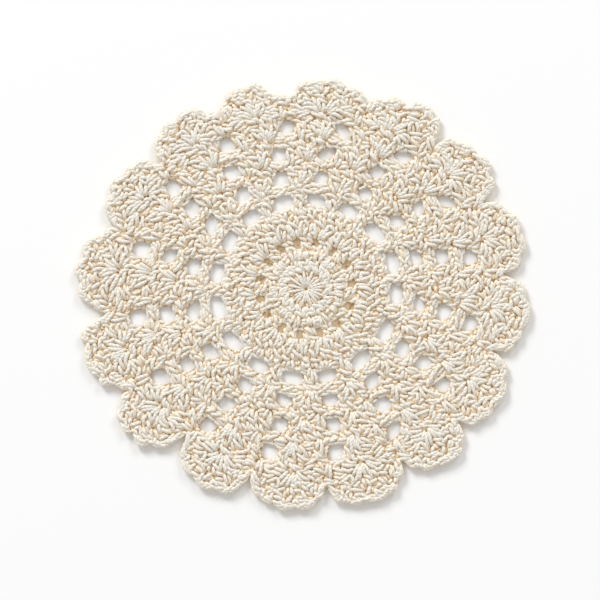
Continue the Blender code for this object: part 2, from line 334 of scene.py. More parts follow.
# %% Chart of the second openwork round
SHELLS_2 = [
    (4, (188.1, 41.2), (186.3, 41.1), (184.5, 40.3)),
    (4, (185.3, 41.8), (183.7, 40.9), (182.6, 39.6)),
    (4, (185.9, 39.5), (183.8, 39.1), (181.6, 38.9)),
    (3, (182.1, 41.7), (180.5, 41.6), (178.7, 41.3)),
    (4, (178.1, 42.2), (176.9, 41.5), (176.6, 40.2)),
    (4, (175.9, 41.7), (173.9, 41.5), (172.1, 40.5)),
    (3, (179.2, 40.1), (178.0, 39.8), (177.2, 39.4)),
    (3, (171.2, 41.1), (170.1, 40.0), (170.7, 38.9)),
    (4, (174.3, 40.1), (174.0, 38.9), (173.4, 37.4)),
    (4, (186.3, 38.7), (185.2, 37.3), (183.4, 35.7)),
    (4, (183.0, 37.3), (182.0, 36.6), (181.6, 34.7)),
    (4, (180.1, 40.0), (180.1, 38.4), (180.1, 36.5)),
    (4, (175.7, 39.7), (177.3, 38.4), (178.3, 36.3)),
    (4, (175.2, 37.3), (176.2, 36.5), (177.4, 35.5)),
    (3, (185.0, 36.0), (183.8, 35.0), (182.8, 33.9)),
    (3, (180.6, 36.3), (180.6, 35.5), (180.6, 34.4)),
    (3, (179.1, 35.8), (179.2, 35.0), (179.4, 34.3)),
    (3, (175.0, 35.8), (172.2, 36.2), (169.2, 36.4)),
    (4, (174.7, 35.4), (172.5, 35.4), (169.7, 35.0)),
    (3, (176.8, 34.5), (175.7, 34.9), (174.4, 35.0)),
    (4, (192.3, 36.1), (189.4, 36.4), (186.6, 36.2)),
    (4, (193.4, 35.7), (191.9, 35.0), (190.4, 34.5)),
    (4, (187.6, 33.9), (186.4, 34.7), (185.2, 34.3)),
]
print("strands of the second round in a repeat:", len(SHELLS_2))

# %% Chart of the third openwork round
SHELLS_3 = [
    (4, (189.0, 50.5), (187.0, 50.1), (184.7, 49.6)),
    (3, (191.3, 50.5), (190.3, 49.6), (188.5, 49.6)),
    (3, (184.8, 51.1), (183.6, 50.2), (183.3, 48.8)),
    (3, (183.0, 50.6), (182.0, 49.9), (181.1, 48.9)),
    (3, (182.0, 50.9), (180.5, 50.7), (178.9, 50.0)),
    (3, (179.6, 51.5), (178.3, 50.8), (177.6, 49.4)),
    (4, (174.9, 52.2), (174.0, 51.1), (173.6, 49.1)),
    (4, (173.0, 51.4), (171.5, 51.2), (170.3, 50.1)),
    (3, (169.4, 50.4), (168.9, 49.0), (169.8, 47.4)),
    (3, (172.0, 49.2), (171.3, 47.8), (170.7, 46.8)),
    (4, (186.1, 47.8), (186.2, 46.0), (185.0, 43.7)),
    (4, (185.9, 48.5), (184.3, 47.6), (182.8, 46.6)),
    (4, (183.7, 45.9), (183.4, 44.8), (183.9, 43.1)),
    (2, (182.9, 44.6), (181.5, 45.0), (180.5, 45.1)),
    (4, (180.4, 49.1), (178.6, 48.3), (176.6, 47.5)),
    (4, (180.6, 48.3), (179.9, 46.8), (178.8, 44.8)),
    (3, (178.5, 46.6), (177.7, 46.2), (177.4, 44.6)),
    (4, (176.5, 48.6), (176.1, 47.2), (176.4, 44.8)),
    (4, (172.4, 48.8), (174.0, 47.0), (175.5, 44.6)),
    (4, (172.1, 45.9), (173.4, 44.7), (174.6, 43.3)),
    (3, (176.4, 49.6), (175.2, 49.2), (174.4, 48.2)),
    (4, (182.0, 43.0), (180.8, 43.7), (179.5, 44.1)),
    (3, (179.9, 43.3), (178.8, 42.8), (177.6, 42.1)),
    (4, (172.3, 44.2), (170.5, 43.4), (168.5, 42.9)),
    (3, (171.1, 44.7), (169.2, 44.3), (167.4, 43.7)),
    (3, (174.1, 43.1), (172.7, 42.9), (171.9, 42.1)),
    (3, (190.2, 44.9), (188.5, 44.6), (187.1, 44.1)),
    (4, (191.9, 42.3), (190.8, 42.7), (189.8, 43.1)),
    (4, (188.9, 42.3), (187.7, 43.0), (186.5, 43.7)),
]
print("strands of the third round in a repeat:", len(SHELLS_3))

# %% Chart of the fourth openwork round
SHELLS_4 = [
    (4, (185.5, 57.5), (185.5, 55.8), (185.0, 53.7), (184.5, 51.9)),
    (3, (185.3, 57.9), (183.9, 57.1), (182.5, 55.5)),
    (4, (183.5, 55.0), (183.5, 53.5), (183.8, 51.4)),
    (3, (186.3, 59.5), (185.0, 59.2), (184.0, 58.1)),
    (3, (183.5, 58.6), (182.9, 57.8), (182.7, 56.6)),
    (3, (182.5, 58.3), (181.2, 59.1), (179.6, 59.7)),
    (4, (180.2, 58.3), (178.5, 57.6), (176.5, 56.5)),
    (4, (179.9, 57.3), (178.3, 55.2), (177.0, 53.9)),
    (4, (177.6, 55.9), (176.3, 55.0), (175.4, 52.9)),
    (4, (175.9, 58.4), (175.6, 56.4), (174.9, 53.9)),
    (4, (174.3, 56.6), (174.3, 55.2), (174.2, 52.5)),
    (4, (172.3, 58.2), (173.0, 56.0), (173.6, 52.5)),
    (4, (171.2, 55.9), (172.0, 54.5), (173.1, 52.3)),
    (4, (181.8, 51.9), (180.3, 52.8), (178.9, 53.4)),
    (3, (176.2, 53.5), (175.9, 52.5), (175.4, 51.5)),
    (3, (171.7, 59.2), (171.0, 57.8), (170.2, 56.4)),
    (3, (169.7, 59.7), (169.4, 58.6), (169.7, 57.4)),
    (3, (168.6, 59.7), (168.2, 58.8), (168.9, 57.8)),
    (3, (175.8, 59.1), (174.3, 58.9), (173.4, 57.4)),
    (2, (170.7, 54.1), (169.4, 54.5), (167.8, 54.1)),
    (3, (171.3, 53.5), (169.4, 53.2), (167.6, 52.7)),
    (4, (171.7, 52.3), (170.1, 52.0), (167.6, 52.5)),
    (4, (191.2, 51.5), (189.7, 52.1), (188.2, 52.8)),
    (4, (188.4, 51.4), (187.2, 52.2), (186.2, 53.0)),
    (3, (191.0, 54.5), (188.8, 54.0), (186.7, 53.6)),
    (3, (182.3, 54.5), (181.0, 54.4), (179.6, 54.5)),
    (4, (177.6, 52.0), (176.0, 51.3), (174.3, 50.5)),
]
print("strands of the fourth round in a repeat:", len(SHELLS_4))

# %% Chart of a scallop
SCALLOP = [
    (4, (187.1, 62.4), (185.6, 62.0), (184.1, 61.6)),
    (3, (185.5, 63.1), (184.0, 63.3), (182.6, 63.2)),
    (4, (184.1, 62.2), (182.4, 62.8), (180.5, 62.5)),
    (4, (183.2, 60.5), (181.3, 61.3), (179.4, 62.5)),
    (3, (182.0, 63.2), (180.8, 63.4), (179.2, 63.2)),
    (3, (178.8, 62.8), (177.8, 62.2), (176.8, 62.0)),
    (4, (178.2, 61.6), (176.3, 60.9), (174.3, 60.5)),
    (4, (175.8, 61.9), (174.3, 61.5), (173.5, 59.6)),
    (4, (173.1, 60.7), (172.2, 59.9), (172.5, 58.4)),
    (4, (172.6, 61.5), (171.4, 60.9), (170.2, 59.7)),
    (4, (172.5, 62.4), (170.8, 62.0), (169.1, 61.4)),
    (4, (171.4, 63.4), (170.2, 63.7), (168.6, 62.8)),
    (3, (169.2, 63.4), (167.7, 63.2), (166.2, 62.1)),
    (4, (170.0, 60.6), (169.5, 59.6), (169.8, 58.3)),
    (3, (168.8, 59.9), (168.3, 59.1), (168.5, 58.2)),
    (4, (169.2, 60.2), (167.9, 61.0), (166.4, 61.8)),
    (3, (167.9, 59.9), (166.3, 59.9), (164.9, 60.3)),
    (4, (165.7, 67.0), (164.6, 66.5), (163.3, 65.3)),
    (4, (165.2, 65.3), (165.4, 63.2), (165.1, 60.6)),
    (4, (163.8, 63.4), (164.1, 62.0), (164.4, 60.3)),
    (4, (165.5, 67.8), (164.3, 68.4), (163.2, 68.2)),
    (4, (166.9, 69.4), (165.7, 69.7), (164.5, 70.2)),
    (3, (165.3, 70.8), (164.1, 70.8), (163.2, 69.9)),
    (4, (181.0, 65.3), (178.5, 64.4), (175.9, 62.5)),
    (4, (178.3, 65.3), (177.2, 65.0), (176.0, 63.4)),
    (4, (181.3, 66.3), (179.4, 66.5), (177.6, 65.5)),
    (4, (182.7, 66.6), (181.8, 67.4), (180.5, 67.7)),
    (4, (180.9, 68.8), (179.9, 68.3), (178.8, 67.2)),
    (4, (178.3, 68.0), (177.5, 66.8), (176.6, 65.8)),
    (4, (176.4, 68.4), (175.8, 66.3), (175.2, 63.9)),
    (4, (174.6, 66.8), (174.5, 65.1), (174.6, 63.2)),
    (4, (172.7, 67.5), (173.4, 65.8), (174.1, 63.9)),
    (4, (171.3, 67.6), (172.3, 65.8), (173.5, 63.7)),
    (4, (171.0, 65.2), (172.0, 64.1), (173.2, 62.8)),
    (4, (170.5, 68.7), (170.8, 67.0), (170.2, 65.1)),
    (4, (176.2, 69.1), (175.1, 68.2), (174.0, 67.0)),
    (4, (175.3, 71.3), (174.5, 70.1), (174.3, 68.4)),
    (3, (173.4, 69.7), (173.1, 69.1), (173.2, 68.2)),
    (3, (172.4, 68.2), (171.8, 68.7), (171.2, 69.0)),
    (4, (173.4, 73.0), (173.9, 72.0), (174.5, 71.3)),
    (4, (172.9, 72.7), (172.3, 72.1), (172.1, 71.3)),
    (4, (172.0, 71.5), (171.2, 71.6), (170.4, 72.1)),
    (4, (169.6, 73.8), (169.3, 72.7), (169.8, 71.4)),
    (4, (172.3, 70.5), (171.0, 69.9), (169.8, 70.0)),
    (3, (170.0, 70.3), (169.5, 69.6), (169.4, 68.9)),
    (3, (168.6, 70.0), (168.5, 69.5), (168.6, 68.9)),
    (4, (170.1, 69.0), (169.2, 68.2), (168.4, 67.4)),
    (4, (170.0, 65.1), (168.8, 66.3), (167.4, 66.8)),
    (3, (169.2, 64.4), (167.7, 65.1), (166.2, 64.7)),
    (3, (166.9, 65.8), (166.4, 66.8), (166.1, 67.5)),
    (4, (167.2, 73.2), (166.9, 72.5), (167.3, 71.5)),
    (4, (167.4, 71.9), (167.3, 70.8), (167.1, 69.9)),
    (3, (169.2, 70.6), (168.6, 71.3), (167.9, 71.8)),
    (3, (166.5, 73.7), (166.2, 72.5), (166.5, 70.8)),
    (4, (172.0, 73.1), (171.0, 74.1), (170.0, 75.1)),
    (4, (173.1, 74.4), (172.3, 73.9), (171.4, 73.5)),
    (3, (169.4, 75.1), (168.4, 75.6), (167.1, 75.1)),
    (3, (168.8, 74.1), (167.9, 74.6), (166.9, 74.4)),
    (4, (174.3, 76.0), (173.2, 76.3), (172.4, 75.3)),
    (4, (176.8, 75.8), (176.2, 76.6), (175.3, 77.2)),
    (4, (178.7, 75.2), (177.7, 75.9), (176.9, 76.0)),
    (4, (177.7, 74.1), (176.7, 73.8), (175.8, 73.5)),
    (4, (179.7, 73.5), (178.7, 74.1), (177.9, 74.0)),
    (3, (175.9, 75.6), (175.6, 74.6), (175.7, 73.5)),
    (4, (178.3, 71.3), (177.3, 71.8), (176.4, 72.4)),
    (4, (177.7, 69.6), (176.5, 70.2), (175.5, 70.1)),
    (3, (179.4, 72.7), (178.3, 72.5), (177.1, 72.8)),
    (4, (179.9, 71.6), (179.2, 70.7), (178.4, 69.4)),
    (4, (182.7, 73.5), (182.6, 72.6), (182.8, 71.5)),
    (3, (183.5, 73.0), (183.7, 71.8), (184.1, 71.0)),
    (4, (182.0, 73.5), (181.0, 74.4), (180.0, 75.0)),
    (4, (185.7, 69.7), (184.4, 70.3), (183.3, 70.5)),
    (4, (184.6, 68.8), (184.0, 69.5), (183.1, 69.6)),
    (4, (185.2, 68.9), (185.1, 68.0), (185.6, 66.5)),
    (3, (183.3, 68.9), (183.6, 68.0), (183.7, 66.8)),
    (4, (182.2, 70.3), (182.2, 69.1), (182.6, 68.0)),
    (3, (186.4, 67.7), (186.6, 66.8), (186.3, 65.8)),
    (4, (183.3, 65.8), (182.3, 64.7), (180.5, 64.1)),
    (3, (185.1, 65.8), (184.4, 65.1), (183.8, 65.6)),
    (3, (180.6, 73.2), (180.0, 72.7), (178.9, 71.8)),
]
print("strands in a scallop:", len(SCALLOP))

# %% [markdown]
# Nearer the centre the repeats are those of the small holes, and the angles are counted from the
# middle of a hole. The rows just outside the rosette have two charts that take turns, so that the
# band doesn't look stamped. Both go with the rows of CORE, nearest the rosette.

# %% Chart of the rounds about a small hole
HOLES = [
    (4, (4.5, 21.6), (3.8, 19.7), (2.0, 17.2)),
    (4, (2.8, 22.4), (0.0, 21.9), (-3.0, 20.8)),
    (4, (-1.8, 20.2), (-1.3, 18.8), (-1.7, 17.1)),
    (4, (-7.1, 22.4), (-5.1, 20.5), (-4.5, 17.5)),
    (4, (-10.9, 20.1), (-8.8, 18.9), (-7.3, 17.5)),
    (4, (-8.8, 22.7), (-10.4, 21.8), (-12.4, 20.6)),
    (4, (-4.8, 24.5), (-7.6, 24.1), (-10.6, 23.5)),
    (4, (-1.5, 24.3), (-2.4, 23.2), (-3.5, 22.1)),
    (4, (-11.4, 24.7), (-14.2, 23.9), (-16.4, 22.7)),
    (3, (-16.7, 22.6), (-18.5, 22.1), (-20.0, 21.8)),
    (4, (-0.8, 26.7), (-1.5, 25.8), (-2.0, 25.0)),
    (4, (-3.8, 26.7), (-4.0, 25.8), (-4.3, 25.0)),
    (4, (-6.6, 26.7), (-7.1, 25.9), (-6.8, 25.1)),
    (3, (-11.9, 26.4), (-12.9, 25.7), (-12.4, 25.0)),
    (4, (-15.9, 26.4), (-16.4, 25.6), (-16.2, 24.8)),
    (4, (-15.2, 21.4), (-14.7, 20.3), (-14.4, 19.4)),
    (4, (-13.9, 19.4), (-16.7, 18.8), (-19.5, 18.5)),
    (4, (-12.9, 18.7), (-14.2, 17.8), (-15.7, 17.2)),
    (3, (-17.4, 17.3), (-19.0, 17.8), (-19.5, 18.1)),
    (3, (-17.4, 20.7), (-18.7, 19.9), (-19.0, 19.1)),
    (4, (-3.8, 16.5), (-7.1, 16.2), (-10.4, 15.7)),
    (3, (-11.4, 16.8), (-14.4, 16.2), (-16.7, 15.4)),
]

# %% Charts next to the rosette
INNER = [
    [
        (4, (-7.8, 15.0), (-11.4, 14.3), (-14.9, 13.8)),
        (3, (-5.1, 15.4), (-5.8, 14.2), (-6.6, 13.0)),
        (3, (-17.4, 14.2), (-20.2, 14.0), (-23.0, 13.7)),
        (4, (-2.5, 12.4), (-2.8, 11.3), (-4.3, 10.0)),
        (3, (2.3, 13.0), (-0.3, 13.0), (-2.3, 13.2)),
        (3, (5.6, 11.9), (2.3, 12.1), (-1.0, 12.3)),
        (3, (5.8, 10.5), (2.3, 10.7), (-0.8, 10.8)),
        (4, (-8.8, 12.3), (-8.3, 11.0), (-9.4, 9.7)),
        (4, (-11.6, 12.4), (-12.1, 11.3), (-11.4, 10.0)),
        (3, (-14.4, 12.1), (-18.5, 11.8), (-22.0, 12.3)),
        (3, (-16.4, 10.0), (-19.5, 10.3), (-23.0, 10.5)),
    ],
    [
        (4, (-7.3, 15.2), (-6.2, 13.9), (-6.5, 12.8)),
        (4, (-6.1, 12.5), (-7.0, 11.1), (-8.3, 9.6)),
        (4, (-10.8, 14.7), (-14.0, 13.9), (-18.7, 12.8)),
        (4, (-15.2, 12.7), (-14.4, 11.3), (-14.0, 10.0)),
        (3, (-17.2, 9.8), (-21.1, 10.0), (-25.5, 10.3)),
        (3, (-19.1, 12.0), (-21.5, 12.2), (-23.9, 12.2)),
        (3, (-20.3, 11.5), (-20.3, 11.1), (-20.7, 10.7)),
        (3, (-24.3, 13.3), (-24.7, 12.9), (-25.1, 12.6)),
    ],
]
CORE = [
    (4, (2.8, 8.8), (-3.7, 8.6), (-10.8, 8.1)),
    (4, (-18.3, 9.1), (-20.3, 7.9), (-23.5, 6.7)),
    (4, (-3.7, 7.9), (-10.8, 6.8), (-20.3, 6.1)),
    (3, (-9.3, 7.9), (-15.6, 7.1), (-22.7, 6.5)),
    (3, (-12.0, 9.5), (-11.8, 8.8), (-13.2, 8.1)),
]
print("strands round a small hole, in turn:", [len(HOLES + chart + CORE) for chart in INNER])

# %% [markdown]
# ## Gaps
#
# The openwork rounds are rings of gaps that show the table. In real crochet no two are alike, so
# each gets a size and a lean of its own. Cutting the finished strands with the gaps' outlines would
# leave sawn ends. Instead, any point of a strand that falls in a gap is moved out to its edge,
# so that the yarn runs round the gap as it does on the real mat.

# %% The gaps' table
OPENINGS = [
    # the round, its openings' inner and outer radius, and half their width in degrees
    ("gap_1", 27.5, 32.1, 6.85),
    ("gap_2", 35.45, 40.0, 3.95),
    ("gap_3", 43.8, 48.6, 2.98),
    ("gap_4", 52.8, 57.8, 2.55),
]
GAP_SIZES = (0.88, 1.08)
GAP_LEAN = 0.3  # how far a gap leans to one side, in mm for each mm outwards
GAP_SQUARENESS = 3.0  # 2 is an ellipse, and more is nearer to a rectangle
SMALL_HOLE = (15.25, 1.35, 3.2, 0.0)  # the same columns as a gap's, after its angle

# one row a gap: its angle, mean radius, half its height, half its width in degrees, and its lean
gap_rows = []
for column, low, high, half in OPENINGS:
    middle = (low + high) / 2
    for repeat in REPEAT:
        size = chance.uniform(*GAP_SIZES)
        lean = math.degrees(chance.normal(0, GAP_LEAN) / middle)
        gap_rows.append((repeat[column], middle, (high - low) / 2 * size, half * size, lean))
GAPS = np.array(gap_rows + [(hole, *SMALL_HOLE) for hole in SMALL_HOLES])
print("gaps and small holes:", len(GAPS))

# %% Round a gap
THIN_REACH = 2.6  # how far from a gap the fabric is still thinner
NEAREST = 0.2  # a point closer to a gap's middle than this share is moved as if it lay that far out


def seen_from_gaps(point):
    """How many degrees beside the middle of every gap a point lies, and how far out from it."""
    distance = np.linalg.norm(point)
    angle = math.degrees(math.atan2(point[1], point[0]))
    up = distance / stretch(angle, distance) - GAPS[:, 1]
    off = (angle - GAPS[:, 0] - GAPS[:, 4] * up + 180) % 360 - 180
    return off, up


def thinner(point):
    """How far the fabric's top sinks there, because it is one stitch thin round a gap."""
    off, up = seen_from_gaps(point)
    across = np.radians(np.maximum(0.0, np.abs(off) - GAPS[:, 3])) * np.linalg.norm(point)
    along = np.maximum(0.0, np.abs(up) - GAPS[:, 2])
    return max(0.0, float(np.max(1 - np.hypot(across, along) / THIN_REACH)))


def clear_of_gaps(point, room):
    """The point, moved out of any gap that it lies in, with that much room to spare."""
    off, up = seen_from_gaps(point)
    wide = GAPS[:, 3] + np.degrees(room / GAPS[:, 1])
    beside = np.abs(off / wide) ** GAP_SQUARENESS
    above = np.abs(up / (GAPS[:, 2] + room)) ** GAP_SQUARENESS
    share = (beside + above) ** (1 / GAP_SQUARENESS)
    k = int(np.argmin(share))
    if share[k] >= 1:
        return point
    near = max(share[k], NEAREST)
    angle, middle, _, _, lean = GAPS[k]
    return on_round(angle + off[k] / near + lean * up[k] / near, middle + up[k] / near)


print("thinning beside the first gap:", round(thinner(on_round(REPEAT[0]["gap_1"] + 8, 30)), 2))

# %% [markdown]
# ## Laying a strand
#
# Every strand is nudged at random, and neighbours drift together, as in handwork. A chart can't
# show a strand's ends, which hide under the neighbours, so both are drawn out a little. Away from
# the gaps each has a twin on the underside, so that the mat looks right when it is turned over.

# %% Levels and nudges
CREST = {0: 1.35, 1: 1.65, 2: 1.95, 3: 2.2, 4: 2.36}
GIRTH = {0: 1.15, 1: 1.12, 2: 1.11, 3: 1.11, 4: 1.16}
SIZES = (0.94, 1.05)  # between the thinnest and the fattest strand of one level
DIVE = 0.85
HIDDEN_END = 0.35  # the length at each end that the neighbours hide
LOWEST_TWIN = 0.7  # so that the fattest strand of the underside still lies on the table
TWIN_SINK = 0.45  # where the fabric's top sinks by this share or more, a strand has no twin
DRIFT, DRIFT_LENGTH, DRIFT_WAVES = 0.16, 9.0, 5
WHOLE_TURN = 6.28  # in radians, near enough for a random phase
NUDGE, HEIGHT_NUDGE = 0.06, 0.05
SQUASH = 0.75  # how much of its height a strand loses at a gap's edge
GAP_ROOM = (0.05, 0.65)  # between a gap's edge and the middle line of a strand beside it

drift_waves = []
for _ in range(DRIFT_WAVES):
    wave = chance.normal(0, 1, 2) * 2 * math.pi / DRIFT_LENGTH
    drift_waves.append((wave, chance.uniform(0, WHOLE_TURN, 2)))

underside = Strands("yarn_underside", PLAIN)
laid = []
print("levels, in mm above the table:", CREST)


# %% Laying
def drift(point):
    """A slow random shift of the plan."""
    return DRIFT * sum(np.sin(point @ wave + phase) for wave, phase in drift_waves)


def longer(plan, extra):
    """The strand's points, with both ends drawn out."""
    plan = np.array(plan)
    ends = plan[[0, -1]] - plan[[1, -2]]
    plan[[0, -1]] += ends / np.linalg.norm(ends, axis=1, keepdims=True) * extra
    return plan


def lay(bag, level, plan):
    """One strand of a chart, nudged, and its twin on the underside."""
    room = chance.uniform(*GAP_ROOM)
    plan = np.array([clear_of_gaps(p + drift(p), room) for p in longer(plan, HIDDEN_END)])
    laid.append(plan)
    sink = thinner(plan.mean(axis=0))
    for side in (bag, underside):
        moved = plan + chance.normal(0, NUDGE, plan.shape)
        crest = CREST[level] + chance.normal(0, HEIGHT_NUDGE)
        size = GIRTH[level] * chance.uniform(*SIZES)
        if side is bag:
            bag.add(moved, crest, DIVE, size, SQUASH * sink)
        elif sink < TWIN_SINK:
            underside.add(moved, max(THICKNESS - crest, LOWEST_TWIN), -DIVE, size)


print("a point drifts by up to", round(DRIFT * DRIFT_WAVES, 1), "mm")

# %% [markdown]
# ## The openwork rounds
#
# A ring of posts and three rounds of shells, with a gap between each and the next. A chart is laid
# 16 times. Copies turned by a sixteenth would all be alike and would miss the plan's gaps, so the
# angles are warped each time, until the gaps and the shell's foot fall where the plan has them.

# %% Warping
CHARTED = 7  # the repeat that the charts were drawn on


def repeat_at(i):
    """The row of a repeat, counting on past the last one and back before the first."""
    return REPEAT[i % len(REPEAT)]


def between(column, i, lean):
    """The angle half-way between a repeat's gap and the next one's."""
    gap, following = repeat_at(i)[column], repeat_at(i + 1)[column]
    return gap + turn_from(gap, following) / 2 + lean


def marks(column, foot, i):
    """The angles of a foot, a gap, a foot, a gap and a foot in that order round repeat i."""
    gap, after = repeat_at(i)[column], repeat_at(i + 1)[column]
    return [
        gap - turn_from(foot(i - 1), gap),
        gap,
        gap + turn_from(gap, foot(i)),
        gap + turn_from(gap, after),
        gap + turn_from(gap, foot(i + 1)),
    ]


def lay_round(bag, chart, column, foot):
    """Lays a chart of an openwork round in every repeat."""
    drawn = marks(column, foot, CHARTED)
    for i in range(len(REPEAT)):
        here = marks(column, foot, i)
        for level, *points in chart:
            plan = []
            for angle, distance in points:
                radius = distance / stretch(angle, distance)
                plan.append(on_round(float(np.interp(angle, drawn, here)), radius))
            lay(bag, level, plan)


print("marks of the charted repeat:", marks("gap_1", lambda i: between("gap_1", i, 0.0), CHARTED))

# %% Posts and shells
ROUNDS = [
    # the piece, its chart, its gaps, the gaps that its feet stand between, and the feet's lean
    ("yarn_posts", POSTS, "gap_1", "gap_1", 0.0),
    ("yarn_shells_2", SHELLS_2, "gap_2", "gap_1", 0.5),
    ("yarn_shells_3", SHELLS_3, "gap_3", "gap_3", -1.9),
    ("yarn_shells_4", SHELLS_4, "gap_4", "gap_4", -1.6),
]
openwork = []
for name, chart, column, feet, lean in ROUNDS:
    openwork.append(Strands(name))
    lay_round(openwork[-1], chart, column, lambda i: between(feet, i, lean))
print("strands laid:", len(laid))

# %% [markdown]
# ## The middle of the mat
#
# The first round is a rosette: long stitches all worked into one small ring, so they taper towards
# the centre. Here the strands can be told apart, so each is listed with its own angle and reach. The
# band round the rosette is laid from charts instead, once for each small hole.

# %% Rosette
# each leaf of the rosette: its angle and how far it reaches
LEAVES = [
    (8, 6.4), (20, 6.2), (35, 6.1), (52, 4.9), (69, 6.4), (81, 4.2), (98, 6.2), (113, 4.9), (122, 6.3),
    (145, 6.4), (168, 6.3), (190, 6.4), (210, 4.5), (224, 5.5), (236, 5.6), (256, 5.8), (267, 4.4),
    (279, 4.8), (287, 6.6), (309, 6.0), (324, 5.6), (338, 7.0), (354, 5.6),
]
TAPERED = (8, (0.0, 0.15, 0.35, 0.55, 0.75, 0.92, 1.0), (0.3, 0.5, 0.72, 0.9, 1.0, 0.85, 0.5))
LEAF_ROOT, LEAF_MIDDLE = (5, 0.6), (1, 2.9)  # a turn from the leaf's angle, and a distance
LEAF_CREST, LEAF_STEP = 2.3, 0.1  # every other leaf lies a step higher
LONG_LEAF, LEAF_GIRTH, SHORT_GIRTH = 5, 0.95, 0.75
LEAF_DIVE = 0.7
TWIN_CREST, TWIN_GIRTH = 0.65, 0.9

leaves = Strands("yarn_leaves", TAPERED)
for i, (angle, reach) in enumerate(LEAVES):
    plan = [spot(angle + turn, distance) for turn, distance in (LEAF_ROOT, LEAF_MIDDLE)]
    plan.append(spot(angle, reach))
    girth = LEAF_GIRTH if reach > LONG_LEAF else SHORT_GIRTH
    leaves.add(plan, LEAF_CREST + LEAF_STEP * (i % 2), LEAF_DIVE, girth)
    underside.add(plan, TWIN_CREST, -LEAF_DIVE, TWIN_GIRTH)
    laid.append(np.array(plan))
print("leaves of the rosette:", len(LEAVES))

# %% Band
CHARTED_ROOM = 21.5  # degrees from hole to hole where the inner charts were drawn

band = Strands("yarn_band")
for i, hole in enumerate(SMALL_HOLES):
    room = turn_from(SMALL_HOLES[i - 1], hole)
    for level, *points in HOLES + INNER[i % 2] + CORE:
        plan = []
        for angle, distance in points:
            plan.append(on_round(hole + angle * (room / CHARTED_ROOM if angle < 0 else 1.0), distance))
        lay(band, level, plan)
print("strands laid:", len(laid))

# %% [markdown]
# ## The edge
#
# The last rounds are 16 scallops, each a fan of stitches from one foot, with a rim of small bumps.
# The rim makes the outline, which the eye checks first, and no formula gives its uneven bumps. So
# it is a plan of its own: a cusp and a bump by turns, all the way round.

# %% The rim's plan
# cusps and bumps by turns: an angle and a distance from the centre
RIM = [
    (4, 65.0), (7.5, 72.3), (9.2, 73.2), (12, 75.0),
    (14.8, 74.2), (17.3, 74.7), (21, 72.0), (23, 71.0),
    (26, 65.0), (29.8, 72.0), (31.5, 72.2), (35.3, 74.0),
    (38.3, 72.2), (40.7, 73.0), (43.4, 71.3), (44.6, 70.5),
    (48.4, 64.0), (52, 72.0), (53.4, 71.5), (56, 73.3),
    (61.3, 69.8), (64.2, 70.8), (66.8, 69.3), (68.2, 68.8),
    (71.5, 64.7), (76.3, 69.3), (78, 68.5), (82, 70.7), (85, 69.2),
    (88.2, 70.0), (90, 68.8), (90.8, 68.7), (92.8, 66.2), (94.2, 65.7),
    (95.8, 64.3), (98.3, 66.0), (100.2, 66.2), (104.6, 70.7), (106.6, 69.7),
    (109, 70.8), (110.9, 69.5), (112.4, 70.2), (113.4, 68.0), (114, 67.7),
    (116.4, 64.0), (118.8, 67.0), (119.8, 67.3), (122.2, 70.8), (123.5, 71.3),
    (125.8, 72.0), (127.6, 70.8), (129.9, 72.5), (132.4, 70.7), (134.2, 71.0),
    (139.8, 63.3), (143.4, 71.0), (144.4, 70.8), (145.7, 72.0),
    (147, 71.7), (151.2, 74.0), (154, 72.5), (157, 72.7),
    (161.8, 66.7), (164.2, 70.3), (165.4, 71.8), (168.8, 75.7), (172, 75.0),
    (175.2, 77.7), (178.4, 75.7), (181, 75.7), (184.9, 70.8), (185.6, 70.3),
    (187.1, 67.0), (188.6, 70.7), (189.6, 73.3), (192.6, 76.7), (194, 76.0),
    (199.2, 77.7), (203.3, 75.2), (204.4, 75.7), (206.8, 72.0), (208, 70.3),
    (209.6, 68.7), (212, 73.0), (212.8, 73.8), (214.3, 75.8), (215.5, 75.8),
    (218, 77.2), (220, 75.0), (222.2, 76.3), (225, 73.3), (226.4, 72.7),
    (230.9, 62.0), (233, 69.7), (233.7, 70.0), (236.6, 72.7),
    (238.5, 72.3), (242.3, 75.0), (245.5, 73.2), (247.8, 73.8),
    (253.3, 64.0), (256.2, 70.7), (257.1, 71.0), (259.3, 72.5), (261, 72.5),
    (264.2, 74.3), (267.2, 73.5), (270, 73.3), (273.5, 70.0), (274.3, 69.7),
    (276, 66.0), (279.7, 72.2), (281.3, 72.8), (283.8, 73.8), (285, 74.0),
    (289.8, 74.5), (291.8, 74.0), (293, 73.8), (295.6, 71.3), (296.6, 70.8),
    (299, 65.3), (301.2, 70.0), (302, 70.7), (305, 73.3),
    (306.8, 73.7), (311.8, 75.2), (314.3, 73.5), (315.8, 72.8),
    (319.1, 67.3), (322, 72.5), (322.8, 73.2), (325.5, 74.5),
    (327.6, 74.2), (331.5, 75.3), (335, 73.3), (337.3, 72.7),
    (341.6, 65.0), (344.3, 72.0), (345.2, 72.0), (347.8, 73.5),
    (349, 73.7), (353.8, 75.2), (357.4, 73.5), (359, 73.3),
]
rim_angles, rim_distances = np.array(RIM).T
BASE = 59.4  # the mean radius where the scallops begin
RIM_ROOM = 1.1  # from the rim to the middle line of the strands inside it


def edge(angle):
    """How far out the rim stands at that angle."""
    return float(np.interp(angle % 360.0, rim_angles, rim_distances, period=360.0))


def fan_foot(i):
    """The angle of the foot of a scallop's fan."""
    return repeat_at(i)["fan"]


print("cusps and bumps:", len(RIM))

# %% [markdown]
# The scallops share one chart, but no two are equally wide or deep. Scaling whole copies would
# leave steps between neighbours. So the chart is stretched point by point, sideways between the
# notches and outwards between its foot and the rim.

